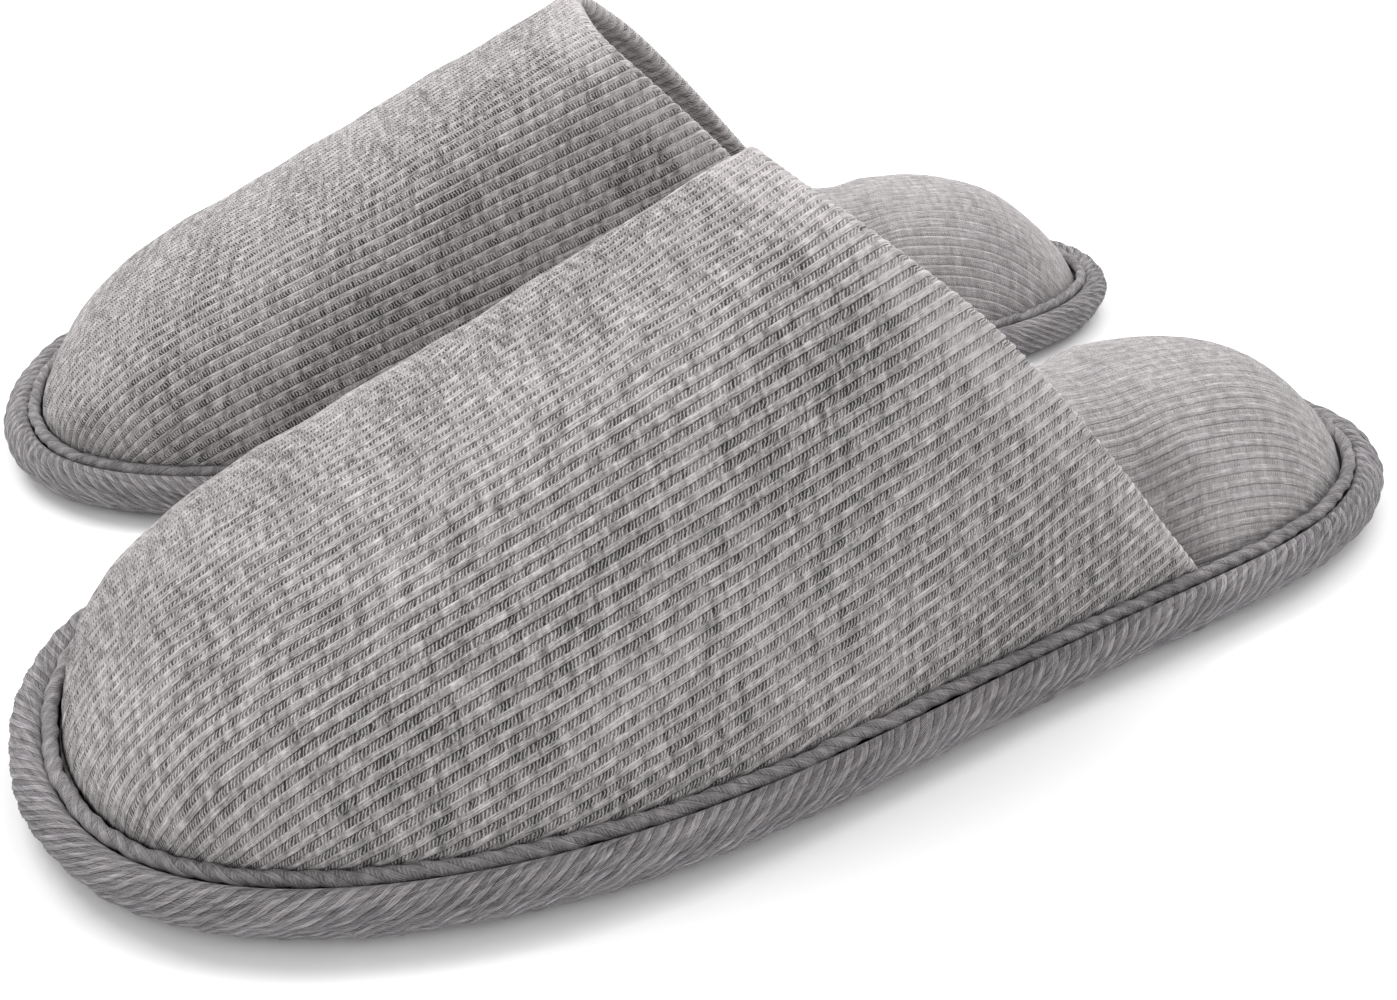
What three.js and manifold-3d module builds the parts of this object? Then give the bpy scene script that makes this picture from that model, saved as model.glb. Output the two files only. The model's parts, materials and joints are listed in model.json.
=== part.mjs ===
// A pair of closed-toe spa slippers, in millimetres, +Z up, toes towards -X, heels towards +X.
// Each slipper is a layered sole (outsole, board, foam pad, footbed cover) with a bound edge, a piped welt
// and a three-layer vamp. Its sole bends at the waist, just behind the vamp, so every sole layer is made as
// a forepart piece and a heel piece with a wedge-shaped gap between them.
//
// A point of a slipper is first worked out in its own measures: s, the distance from the heel end towards
// the toe; y, across; z, above the floor. worldX() then turns s into X.

import * as THREE from "three";
import { mergeVertices } from "three/addons/utils/BufferGeometryUtils.js";
import Module from "manifold-3d";

const wasm = await Module();
wasm.setup();

// ---- driving dimensions ----
const LENGTH = 270;
const HALF_WIDTH_TERMS = [59.3, -9.2, 5.2, 1.0, 0.3, -0.65]; // sine series of the half width, heel to toe
const TOE_SWING = 8; // how far the toe end leans towards the big toe's side
const OUTLINE_STEPS = 48;
const TOUCH_GAP = 0.35;

const OUTSOLE = { inset: 6, bottom: 0, top: 3 };
const BOARD = { inset: 8, bottom: 3.35, top: 5.2 };
const GROOVE_HEIGHT = 9;
const OUTER_GROOVE_INSET = 4.6;
const PIPING_RADIUS = 1.5;
const PIPING_LIFT = 0.45; // the piping's centre stands this share of its radius over the grooves
const PIPING_SIDES = 6;
const SEAM_INSET = OUTER_GROOVE_INSET + 2 * PIPING_RADIUS + TOUCH_GAP;
// The bound edge's section, as [inset from the outline, height], from its inner foot round the bulge.
const BINDING_PROFILE = [
  [5.6, 0.3],
  [2.4, 0.3],
  [0.5, 2.2],
  [0, 5],
  [0.9, 7.6],
  [2.9, 8.4],
  [5.6, 6.8],
];

const COVER_THICKNESS = 1.6;
const COVER_RIM_HEIGHT = 8.2;
const FOOTBED_RISE = { heel: 26.8, toe: 8, roundness: 2.8, heelEnd: 95, toeStart: 175 };
// The footbed draws in by the tuck to clear the vamp's layers. It starts and ends behind the vamp's low ends.
const FOOTBED_TUCK = { depth: 8.8, startBehind: 32, endBehind: 9 };
// The line down the middle of the slipper that the footbed's rings shrink towards.
const SPINE = { start: 54, end: LENGTH - 52 };
const DOME_RINGS = [1, 0.93, 0.82, 0.66, 0.42, 0.1];
const FOAM_BOTTOM = 5.6;

const VAMP = {
  seamInset: SEAM_INSET + 0.7,
  sink: 0.8, // how far its lower edge sits under the groove's height
  drawIn: 1.2, // how much each millimetre of depth narrows and shortens a layer
  drawDown: 1.5, // how much each millimetre of depth lowers its ridge
  sideStart: 66, // the topline's low ends, from the heel
  apexStart: 132.5, // the topline's highest point, from the heel
  apexHeight: 84,
  toeShare: 0.25, // how much of the height the toe cap makes
  toeRound: 0.09, // how quickly the toe cap rises
  ridgeCurve: 1.16, // above 1, the climb behind the toe cap hollows a little
  toplineBend: 0.87,
  bend: { topline: 4.1, toe: 2.2 },
  fullness: { topline: 1, toe: 0.26 },
  rows: 12,
  columns: 16,
};
const SHELL = { from: 0, to: 1.4 };
const PADDING = { from: 1.75, to: 4.4 };
const LINING = { from: 4.75, to: 5.7 };

const FLEX = { distance: 46, halfGap: 0.35, wedgeDegrees: 18 };
const PAIR = { spacing: 118.5, rightTurnDegrees: -12, rightShift: 4.8 };

const KNIT = { color: 0x999593, roughness: 0.95, metalness: 0 };
const KNIT_DARK = { color: 0x8f8a89, roughness: 0.95, metalness: 0 };
const LINING_CLOTH = { color: 0x7d7a79, roughness: 0.9, metalness: 0 };
const FOAM = { color: 0xd8d4c8, roughness: 0.9, metalness: 0 };
const BOARD_FIBRE = { color: 0xb8a888, roughness: 0.85, metalness: 0 };
const SOLE_RUBBER = { color: 0x5b5b5c, roughness: 0.8, metalness: 0 };

// ---- outline of the sole ----
const worldX = (s) => LENGTH / 2 - s;
const toeSwing = (s) => TOE_SWING * (s / LENGTH) ** 2;

// Half width at the outline angle: 0 at the heel end, PI at the toe end, negative on the way back.
function halfWidth(angle) {
  return HALF_WIDTH_TERMS.reduce((sum, term, k) => sum + term * Math.sin((k + 1) * angle), 0);
}

function halfWidthSlope(angle) {
  return HALF_WIDTH_TERMS.reduce((sum, term, k) => sum + term * (k + 1) * Math.cos((k + 1) * angle), 0);
}

// The outline's point at an angle, moved inwards square to the edge.
function edgePoint(angle, inset = 0) {
  const s = (LENGTH / 2) * (1 - Math.cos(angle));
  const y = -halfWidth(angle);
  const ds = (LENGTH / 2) * Math.sin(angle);
  const dy = -halfWidthSlope(angle);
  const length = Math.hypot(ds, dy);
  return { s: s - (dy / length) * inset, y: y + (ds / length) * inset };
}

const outlineAngles = Array.from({ length: OUTLINE_STEPS }, (_, k) => (2 * Math.PI * k) / OUTLINE_STEPS);

// Half width of the inset outline at a distance s from the heel, found by halving the angle's range.
function insetHalfWidth(s, inset) {
  let low = 0;
  let high = Math.PI;
  for (let step = 0; step < 40; step += 1) {
    const middle = (low + high) / 2;
    if (edgePoint(middle, inset).s < s) low = middle;
    else high = middle;
  }
  return Math.abs(edgePoint((low + high) / 2, inset).y);
}

const smoothStep = (from, to, value) => {
  const t = Math.min(1, Math.max(0, (value - from) / (to - from)));
  return t * t * (3 - 2 * t);
};

// ---- closed bodies from rings of points ----
// side is +1 for the left slipper and -1 for the right one, which is its mirror image.
function solidFrom(points, triangles, side) {
  const geometry = new THREE.BufferGeometry();
  const positions = points.flatMap((p) => [worldX(p.s), side * (p.y + toeSwing(p.s)), p.z]);
  geometry.setAttribute("position", new THREE.Float32BufferAttribute(positions, 3));
  geometry.setIndex(triangles.flat());
  return toManifold(geometry);
}

function toManifold(geometry) {
  const bare = geometry.clone();
  bare.deleteAttribute("normal");
  bare.deleteAttribute("uv");
  const merged = mergeVertices(bare, 1e-4);
  const index = merged.index.array;
  const kept = [];
  for (let k = 0; k < index.length; k += 3) {
    const [a, b, c] = [index[k], index[k + 1], index[k + 2]];
    if (a !== b && b !== c && c !== a) kept.push(a, b, c);
  }
  const vertProperties = new Float32Array(merged.attributes.position.array);
  if (signedVolume(vertProperties, kept) < 0) {
    for (let k = 0; k < kept.length; k += 3) [kept[k], kept[k + 1]] = [kept[k + 1], kept[k]];
  }
  return new wasm.Manifold(new wasm.Mesh({ numProp: 3, vertProperties, triVerts: new Uint32Array(kept) }));
}

function signedVolume(positions, index) {
  const corner = (k) => new THREE.Vector3().fromArray(positions, 3 * index[k]);
  let volume = 0;
  for (let k = 0; k < index.length; k += 3) {
    volume += corner(k).dot(corner(k + 1).cross(corner(k + 2))) / 6;
  }
  return volume;
}

// Quads between each ring and the next one; wrap also joins the last ring to the first.
function ringBand(ringCount, ringSize, wrap) {
  const triangles = [];
  const bands = wrap ? ringCount : ringCount - 1;
  for (let ring = 0; ring < bands; ring += 1) {
    const here = ring * ringSize;
    const next = ((ring + 1) % ringCount) * ringSize;
    for (let k = 0; k < ringSize; k += 1) {
      const after = (k + 1) % ringSize;
      triangles.push([here + k, here + after, next + after]);
      triangles.push([here + k, next + after, next + k]);
    }
  }
  return triangles;
}

// Closes an outline ring by joining each point to the one across the slipper.
function ringCap(first, ringSize, flip) {
  const triangles = [];
  const across = (k) => first + ((ringSize - k) % ringSize);
  for (let k = 0; k < ringSize / 2; k += 1) {
    const quad = [first + k, first + k + 1, across(k + 1), across(k)];
    triangles.push([quad[0], quad[1], quad[2]], [quad[0], quad[2], quad[3]]);
  }
  return flip ? triangles.map(([a, b, c]) => [a, c, b]) : triangles;
}

function stackedSolid(rings, side) {
  const size = OUTLINE_STEPS;
  const triangles = [
    ...ringCap(0, size, true),
    ...ringBand(rings.length, size, false),
    ...ringCap((rings.length - 1) * size, size, false),
  ];
  return solidFrom(rings.flat(), triangles, side);
}

function hoopSolid(profile, side) {
  const rings = outlineAngles.map(
    (angle) => profile.map(([inset, z]) => ({ ...edgePoint(angle, inset), z })),
  );
  return solidFrom(rings.flat(), ringBand(rings.length, profile.length, true), side);
}

// ---- sole ----
const flatRing = (inset, z) => outlineAngles.map((angle) => ({ ...edgePoint(angle, inset), z }));

function slab(layer, side) {
  return stackedSolid([flatRing(layer.inset, layer.bottom), flatRing(layer.inset, layer.top)], side);
}

// One ring of the footbed's dome: scale 1 is its rim, and smaller rings lie higher and nearer the spine.
function domeRing(scale, depth) {
  const tuckStart = VAMP.sideStart - FOOTBED_TUCK.startBehind;
  const tuckEnd = VAMP.sideStart - FOOTBED_TUCK.endBehind;
  return outlineAngles.map((angle) => {
    const tuck = FOOTBED_TUCK.depth * smoothStep(tuckStart, tuckEnd, edgePoint(angle).s);
    const rim = edgePoint(angle, SEAM_INSET + tuck + depth);
    const spineS = Math.min(SPINE.end, Math.max(SPINE.start, rim.s));
    const s = spineS + (rim.s - spineS) * scale;
    const toeward = smoothStep(FOOTBED_RISE.heelEnd, FOOTBED_RISE.toeStart, s);
    const rise = THREE.MathUtils.lerp(FOOTBED_RISE.heel, FOOTBED_RISE.toe, toeward);
    const z = COVER_RIM_HEIGHT + rise * (1 - scale ** FOOTBED_RISE.roundness) - depth;
    return { s, y: rim.y * scale, z };
  });
}

function footbedCover(side) {
  const outer = DOME_RINGS.map((scale) => domeRing(scale, 0)).reverse();
  const inner = DOME_RINGS.map((scale) => domeRing(scale, COVER_THICKNESS));
  return stackedSolid([...outer, ...inner], side);
}

function foamPad(side) {
  const depth = COVER_THICKNESS + TOUCH_GAP;
  const dome = DOME_RINGS.map((scale) => domeRing(scale, depth));
  const base = dome[0].map((p) => ({ ...p, z: FOAM_BOTTOM }));
  return stackedSolid([base, ...dome], side);
}

function edgeBinding(side) {
  return hoopSolid(BINDING_PROFILE, side);
}

function weltPiping(side) {
  const centreInset = OUTER_GROOVE_INSET + PIPING_RADIUS;
  const centreHeight = GROOVE_HEIGHT + PIPING_RADIUS * PIPING_LIFT;
  const profile = Array.from({ length: PIPING_SIDES }, (_, k) => {
    const turn = (2 * Math.PI * (k + 0.5)) / PIPING_SIDES;
    return [centreInset + PIPING_RADIUS * Math.cos(turn), centreHeight + PIPING_RADIUS * Math.sin(turn)];
  });
  return hoopSolid(profile, side);
}

// ---- vamp ----
// A layer at a depth under the outer face has its own seam, toe end and ridge, all drawn in by its depth.
const VAMP_BASE = GROOVE_HEIGHT - VAMP.sink;
const layerInset = (depth) => VAMP.seamInset + VAMP.drawIn * depth;
const layerToe = (depth) => LENGTH - layerInset(depth);

// Height of the ridge above the seam: a steep toe cap, then a straight climb to the topline.
function ridgeHeight(s, depth) {
  const back = Math.max(0, (layerToe(depth) - s) / (layerToe(depth) - VAMP.apexStart));
  const cap = 1 - Math.exp(-back / VAMP.toeRound);
  const share = VAMP.toeShare * cap + (1 - VAMP.toeShare) * back ** VAMP.ridgeCurve;
  return (VAMP.apexHeight - VAMP_BASE - VAMP.drawDown * depth) * share;
}

// Height of the section as a share of the ridge's: a full arch at the topline, an ellipse at the toe.
function sectionHeight(across, toeward) {
  const bend = THREE.MathUtils.lerp(VAMP.bend.topline, VAMP.bend.toe, toeward);
  const fullness = THREE.MathUtils.lerp(VAMP.fullness.topline, VAMP.fullness.toe, toeward);
  return (1 - across ** bend) ** fullness;
}

function vampPoint(along, around, depth) {
  const turn = Math.PI * around;
  const across = Math.min(1, Math.abs(Math.cos(turn)));
  const climb = sectionHeight(across, 0) ** VAMP.toplineBend;
  const toplineS = THREE.MathUtils.lerp(VAMP.sideStart, VAMP.apexStart, climb);
  const s = THREE.MathUtils.lerp(toplineS, layerToe(depth), Math.sin((Math.PI / 2) * along));
  const toeward = smoothStep(VAMP.apexStart, layerToe(depth), s);
  const y = -Math.sign(Math.cos(turn)) * insetHalfWidth(s, layerInset(depth)) * across;
  return { s, y, z: VAMP_BASE + ridgeHeight(s, depth) * sectionHeight(across, toeward) };
}

function vampLayer(layer, side) {
  const { rows, columns } = VAMP;
  const points = [];
  for (const depth of [layer.from, layer.to]) {
    for (let row = 0; row <= rows; row += 1) {
      for (let column = 0; column <= columns; column += 1) {
        points.push(vampPoint(row / rows, column / columns, depth));
      }
    }
  }
  const outer = (row, column) => row * (columns + 1) + column;
  const inner = (row, column) => points.length / 2 + outer(row, column);
  const triangles = [];
  const addQuad = (a, b, c, d) => triangles.push([a, b, c], [a, c, d]);
  for (let row = 0; row < rows; row += 1) {
    for (let column = 0; column < columns; column += 1) {
      addQuad(outer(row, column), outer(row, column + 1), outer(row + 1, column + 1), outer(row + 1, column));
      addQuad(inner(row, column), inner(row + 1, column), inner(row + 1, column + 1), inner(row, column + 1));
    }
    addQuad(outer(row, 0), outer(row + 1, 0), inner(row + 1, 0), inner(row, 0));
    addQuad(outer(row, columns), inner(row, columns), inner(row + 1, columns), outer(row + 1, columns));
  }
  for (let column = 0; column < columns; column += 1) {
    addQuad(outer(0, column), inner(0, column), inner(0, column + 1), outer(0, column + 1));
    const end = [outer(rows, column), outer(rows, column + 1), inner(rows, column + 1), inner(rows, column)];
    addQuad(...end);
  }
  return solidFrom(points, triangles, side);
}

// ---- flex line ----
// The sole's layers are cut along two planes that lean apart, so that the heel can bend up and down.
function flexHalves(solid) {
  const lean = THREE.MathUtils.degToRad(FLEX.wedgeDegrees);
  const planeX = worldX(FLEX.distance);
  const heelNormal = [Math.cos(lean), 0, -Math.sin(lean)];
  const frontNormal = [-Math.cos(lean), 0, -Math.sin(lean)];
  const heelOffset = (planeX + FLEX.halfGap) * Math.cos(lean);
  const frontOffset = -(planeX - FLEX.halfGap) * Math.cos(lean);
  return {
    front: solid.trimByPlane(frontNormal, frontOffset),
    heel: solid.trimByPlane(heelNormal, heelOffset),
  };
}

// ---- assembly ----
function meshOf(name, solid, finish) {
  const { vertProperties, triVerts } = solid.getMesh();
  const geometry = new THREE.BufferGeometry();
  geometry.setAttribute("position", new THREE.BufferAttribute(new Float32Array(vertProperties), 3));
  geometry.setIndex(new THREE.BufferAttribute(new Uint32Array(triVerts), 1));
  geometry.computeVertexNormals();
  const mesh = new THREE.Mesh(geometry, new THREE.MeshStandardMaterial(finish));
  mesh.name = name;
  return mesh;
}

function slipper(prefix, side) {
  const group = new THREE.Group();
  const soleLayers = [
    ["outsole", slab(OUTSOLE, side), SOLE_RUBBER],
    ["insole_board", slab(BOARD, side), BOARD_FIBRE],
    ["foam_pad", foamPad(side), FOAM],
    ["footbed_cover", footbedCover(side), KNIT],
    ["edge_binding", edgeBinding(side), KNIT_DARK],
    ["welt_piping", weltPiping(side), KNIT_DARK],
  ];
  for (const [name, solid, finish] of soleLayers) {
    const { front, heel } = flexHalves(solid);
    group.add(meshOf(`${prefix}_${name}_front`, front, finish));
    group.add(meshOf(`${prefix}_${name}_heel`, heel, finish));
  }
  const vampLayers = [
    ["upper_shell", SHELL, KNIT],
    ["upper_padding", PADDING, FOAM],
    ["upper_lining", LINING, LINING_CLOTH],
  ];
  for (const [name, layer, finish] of vampLayers) {
    group.add(meshOf(`${prefix}_${name}`, vampLayer(layer, side), finish));
  }
  return group;
}

const left = slipper("left", 1);
const right = slipper("right", -1);
right.position.set(PAIR.rightShift, PAIR.spacing, 0);
right.rotation.z = THREE.MathUtils.degToRad(PAIR.rightTurnDegrees);

const pair = new THREE.Group();
pair.add(left, right);
pair.updateMatrixWorld(true);
const centre = new THREE.Box3().setFromObject(pair, true).getCenter(new THREE.Vector3());
pair.position.set(-centre.x, -centre.y, 0);

export default pair;
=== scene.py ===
"""A pair of rib-knit spa slippers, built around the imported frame.

Each slipper is worked out in its own measures, in millimetres: s runs from the heel end towards the toe,
y runs across, z is the height above the floor. place() turns them into the frame's metres.
"""
import json
import math

import bpy
import numpy as np
from mathutils import Matrix, Vector


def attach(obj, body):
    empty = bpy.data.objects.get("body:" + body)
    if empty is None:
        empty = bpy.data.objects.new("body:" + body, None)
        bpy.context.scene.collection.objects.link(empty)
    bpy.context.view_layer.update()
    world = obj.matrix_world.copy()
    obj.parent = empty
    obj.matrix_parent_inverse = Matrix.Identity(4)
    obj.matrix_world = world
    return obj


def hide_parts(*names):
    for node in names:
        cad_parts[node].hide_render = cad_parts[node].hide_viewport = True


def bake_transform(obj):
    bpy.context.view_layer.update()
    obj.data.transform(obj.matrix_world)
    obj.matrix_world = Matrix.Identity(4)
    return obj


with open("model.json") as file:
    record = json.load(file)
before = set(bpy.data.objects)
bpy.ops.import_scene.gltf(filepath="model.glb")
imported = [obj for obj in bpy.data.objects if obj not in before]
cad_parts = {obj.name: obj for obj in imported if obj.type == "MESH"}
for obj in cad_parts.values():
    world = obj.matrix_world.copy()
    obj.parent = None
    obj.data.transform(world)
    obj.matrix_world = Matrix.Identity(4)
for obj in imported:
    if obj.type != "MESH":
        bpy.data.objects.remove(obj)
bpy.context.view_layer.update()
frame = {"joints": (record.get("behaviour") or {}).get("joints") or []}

MM = 0.001
SIDES = {"left": 1.0, "right": -1.0}
JOINTS = {joint["name"]: joint for joint in frame["joints"]}

# ---- driving dimensions, in millimetres ----
LENGTH = 270.0
HALF_WIDTH_TERMS = (59.3, -9.2, 5.2, 1.0, 0.3, -0.65)  # sine series of the half width, heel to toe
TOE_SWING = 8.0  # how far the toe end leans towards the big toe's side
FLEX_DISTANCE = 46.0  # from the heel end to the line where the sole bends
BEND_ZONE = (22.0, 68.0)  # where the soft layers turn in the real slipper; the pieces here don't bend

SEAM_INSET = 8.1
SPINE = (56.0, LENGTH - 52.0)  # the line that the footbed's dome closes in on

VAMP_BASE = 7.8
VAMP_SIDE_START = 66.0  # the topline's low ends
VAMP_APEX_START = 132.5  # the topline's highest point
VAMP_APEX_HEIGHT = 84.0
TOE_SHARE = 0.25  # how much of the height the toe cap makes
TOE_ROUND = 0.09  # how quickly the toe cap rises
RIDGE_CURVE = 1.16  # above 1, the climb behind the toe cap hollows a little
TOPLINE_BEND = 0.87
SECTION_BEND = (4.1, 2.2)  # at the topline and at the toe
SECTION_FULLNESS = (1.0, 0.26)
DEEP = 6.0  # the depth at which the upper's innermost face is worked out
DRAW_IN = 1.2  # how much each millimetre of depth narrows a layer
DRAW_DOWN = 1.5  # how much each millimetre of depth lowers its ridge

SHELL_DEPTH = 1.1
PADDING_DEPTH = 1.35
EDGE_DEPTH = 2.6
LINING_DEPTH = 5.0
LINING_FACES = (0.62, 0.22)  # how far the lining's two faces lie short of the upper's inner depth
PADDING_GAP = 0.95  # how far the padding stops short of it
INSIDE_UPPER = (150.0, 0.0, 15.0)  # the upper's outer face looks away from this point
EDGE_THINNING = 22.0  # from the topline to where the upper has its full depth
UPPER_RUN = 120.0  # the length of a long rib of the upper
HEM_STEPS = np.array([0.0, 1.5, 4.0, 6.5, 9.0])
HEM_THICKNESS = 0.75
EDGE_RUN = 4.0  # the length of a rib round the topline's edge
# How much painted highlight lightens the topline's rolled edge and the knit just below it.
TOPLINE_HIGHLIGHT_SHARE = 0.6

FOOTBED_RIM = 7.9
FOOTBED_RISE = (26.8, 8.0)  # at the heel and under the toes
FOOTBED_EASE = (95.0, 175.0)  # the rise changes between these stations
FOOTBED_ROUNDNESS = 2.8
FOOTBED_TUCK = 8.8  # how far the dome draws in to clear the vamp
FOOTBED_SINK = 0.9  # how far its rim sinks under the vamp
TUCK_ZONE = (60.0, 72.0)
FOOTBED_REACH = (36.0, 48.0)  # the millimetres that a share of 1 counts for, at the heel and past it
UNDER_FOOTBED = (135.0, 0.0, -60.0)  # its outer face looks away from this point
COVER_THICKNESS = 1.3
FOAM_CLEARANCE = 0.3
FOAM_EDGE = (5.75, 5.4)  # heights of its thin edge, above and below
FOAM_NARROWING = 0.985

PIPING_INSET = 7.0
PIPING_HEIGHT = 8.9
PIPING_RADIUS = 1.25
PUCKER_PITCH = 4.4

RIB_PITCH = 2.45
BINDING_RIB_SPACING = 2.75
RIB_DEPTH = 0.36
RIB_SPLIT = 0.52  # the smooth band's share of a rib, and the band of loops has the rest
COLUMNS_PER_RIB = 7

# How a sewn knit face is shaped: how strongly, and how far in from its seam, in millimetres.
SEWN_UPPER = {"padding": (0.5, 14.0), "pull": (0.6, 1.5), "pucker": (0.42, 4.5)}
SEWN_FOOTBED = {"padding": (0.45, 12.0), "pull": (0.6, 1.4), "pucker": (0.4, 4.0)}

# Sections of the flat plates and of the bound edge, as (inset from the outline, height).
BOARD_SECTION = ((8.4, 3.5), (8.0, 3.7), (8.0, 4.9), (8.4, 5.1))
SOLE_SECTION = ((6.6, 0.7), (6.1, 1.1), (6.1, 2.7), (6.5, 3.0))
BINDING_TRACK = 2.5  # the inset of the line that the binding's ribs are counted along
BINDING_SLANT = 2.1  # how far the slanted ribs sway, in millimetres
BINDING_WANDER = 0.8
BINDING_RIB_SHARE = 0.55  # how much of a full rib's relief the binding has
BINDING_SECTION = (
    (5.5, 5.0), (5.5, 0.8), (4.2, 0.3), (2.3, 1.4), (0.8, 3.4), (0.1, 5.7), (0.4, 7.8),
    (1.7, 9.3), (3.5, 9.8), (5.0, 9.1), (5.8, 7.7),
)
FLOOR_CLEARANCE = 0.12

STUD_PITCH = 6.0
STUD_RADIUS = 1.5
STUD_INSET = 9.0
STUD_SIDES = 10
STUD_RINGS = ((1.0, 0.75), (0.92, 0.22), (0.7, 0.0))  # shares of the radius, and heights


# ---- small helpers ----
def smooth_step(low, high, value):
    """0 up to low, 1 from high on, and a smooth climb between."""
    t = np.clip((value - low) / (high - low), 0, 1)
    return t * t * (3 - 2 * t)


def mix(pair, t):
    """From the pair's first value at 0 to its second at 1."""
    return pair[0] + (pair[1] - pair[0]) * t


def unit(vectors):
    """The vectors' directions, each of length 1."""
    return vectors / np.maximum(np.linalg.norm(vectors, axis=-1, keepdims=True), 1e-9)


# ---- outline of the sole ----
def edge_points(angle, inset=0.0):
    """The outline, 0 at the heel end and pi at the toe end, moved inwards square to the edge."""
    s = LENGTH / 2 * (1 - np.cos(angle))
    y = -sum(term * np.sin((k + 1) * angle) for k, term in enumerate(HALF_WIDTH_TERMS))
    ds = LENGTH / 2 * np.sin(angle)
    dy = -sum(term * (k + 1) * np.cos((k + 1) * angle) for k, term in enumerate(HALF_WIDTH_TERMS))
    size = np.hypot(ds, dy)
    return s - dy / size * inset, y + ds / size * inset


HALF_TURN = np.linspace(0, math.pi, 1601)


def half_width_of(inset):
    """The half width at each station of the outline moved in by inset."""
    table_s, table_y = edge_points(HALF_TURN, inset)
    table_y = np.abs(table_y)
    return lambda s: np.interp(s, table_s, table_y)


seam_half_width = half_width_of(SEAM_INSET)
deep_half_width = half_width_of(SEAM_INSET + DRAW_IN * DEEP)


class Track:
    """The outline at one inset, walked by its length from the heel end."""

    def __init__(self, inset):
        self.angles = np.linspace(0, 2 * math.pi, 4001)
        s, y = edge_points(self.angles, inset)
        self.run = np.concatenate([[0], np.cumsum(np.hypot(np.diff(s), np.diff(y)))])
        self.length = self.run[-1]

    def angle(self, run):
        return np.interp(np.mod(run, self.length), self.run, self.angles)


def seam_run(s, y):
    """How far along the seam a point lies, by the ray through it from the middle of the footbed."""
    widening = 2.4  # takes the footbed as wide as it is long, which spreads the rays evenly
    rim_s, rim_y = edge_points(HALF_TURN, SEAM_INSET)
    rim_y = np.abs(rim_y)
    run = np.concatenate([[0], np.cumsum(np.hypot(np.diff(rim_s), np.diff(rim_y)))])
    centre = LENGTH / 2
    rim_turn = np.arctan2(rim_y * widening, centre - rim_s)
    turn = np.arctan2(np.abs(y) * widening, centre - s)
    order = np.argsort(rim_turn)
    return np.interp(turn, rim_turn[order], run[order]) * np.sign(y)


# ---- faces of the vamp and the footbed ----
def vamp_toe(depth):
    """The station at which the upper ends in front."""
    return LENGTH - SEAM_INSET - DRAW_IN * depth


def ridge_height(s, depth=0.0):
    """Height of the vamp's middle line over its seam: a steep toe cap, then a long climb to the topline."""
    toe = vamp_toe(depth)
    back = np.maximum((toe - s) / (toe - VAMP_APEX_START), 0)
    cap = 1 - np.exp(-back / TOE_ROUND)
    share = TOE_SHARE * cap + (1 - TOE_SHARE) * back ** RIDGE_CURVE
    return (VAMP_APEX_HEIGHT - VAMP_BASE - DRAW_DOWN * depth) * share


def vamp_height(s, q, depth=0.0):
    """Height above the floor at a station s and a share q of the half width there."""
    toeward = smooth_step(VAMP_APEX_START, vamp_toe(depth), s)
    arch = np.clip(1 - np.abs(q) ** mix(SECTION_BEND, toeward), 0, 1) ** mix(SECTION_FULLNESS, toeward)
    return VAMP_BASE + ridge_height(s, depth) * arch


def vamp_points(s, q, depth=0.0):
    """Points of the vamp, with q signed: a share of the half width, and depth under the outer face."""
    s, q = np.broadcast_arrays(s, q)
    outer = np.stack([s, q * seam_half_width(s), vamp_height(s, q)], axis=-1)
    toeward = np.clip((s - VAMP_APEX_START) / (vamp_toe(0) - VAMP_APEX_START), 0, 1)
    inner_s = s - DRAW_IN * DEEP * toeward
    inner = np.stack([inner_s, q * deep_half_width(inner_s), vamp_height(inner_s, q, DEEP)], axis=-1)
    share = np.broadcast_to(np.asarray(depth) / DEEP, s.shape)[..., None]
    return outer + (inner - outer) * share


def footbed_share(s, q):
    """How far out a footbed point lies, from 0 on its middle line to 1 at the seam."""
    y = seam_half_width(s) * np.abs(q)
    near_heel = s < SPINE[0]
    past = np.where(near_heel, SPINE[0] - s, np.maximum(s - SPINE[1], 0))
    reach = np.where(near_heel, SPINE[0] - SEAM_INSET, LENGTH - SEAM_INSET - SPINE[1])
    width = np.where(near_heel, seam_half_width(SPINE[0]), seam_half_width(SPINE[1]))
    here = np.hypot(past / reach, y / width)
    rim = np.hypot(past / reach, seam_half_width(s) / width)
    return np.clip(np.where(past > 0, here / rim, np.abs(q)), 0, 1)


def footbed_height(s, q):
    """Height of the footbed. Under the vamp its dome draws in and leaves a flat edge to sew to."""
    share = footbed_share(s, q)
    under = smooth_step(*TUCK_ZONE, s)
    drawn = share / (1 - FOOTBED_TUCK * under / np.maximum(seam_half_width(s), 20))
    rise = mix(FOOTBED_RISE, smooth_step(*FOOTBED_EASE, s))
    dome = 1 - np.clip(drawn, 0, 1) ** FOOTBED_ROUNDNESS
    return FOOTBED_RIM - FOOTBED_SINK * under + rise * dome


def footbed_points(s, q):
    """Points of the footbed, with q signed: a share of the half width."""
    s, q = np.broadcast_arrays(s, q)
    return np.stack([s, q * seam_half_width(s), footbed_height(s, q)], axis=-1)


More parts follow.
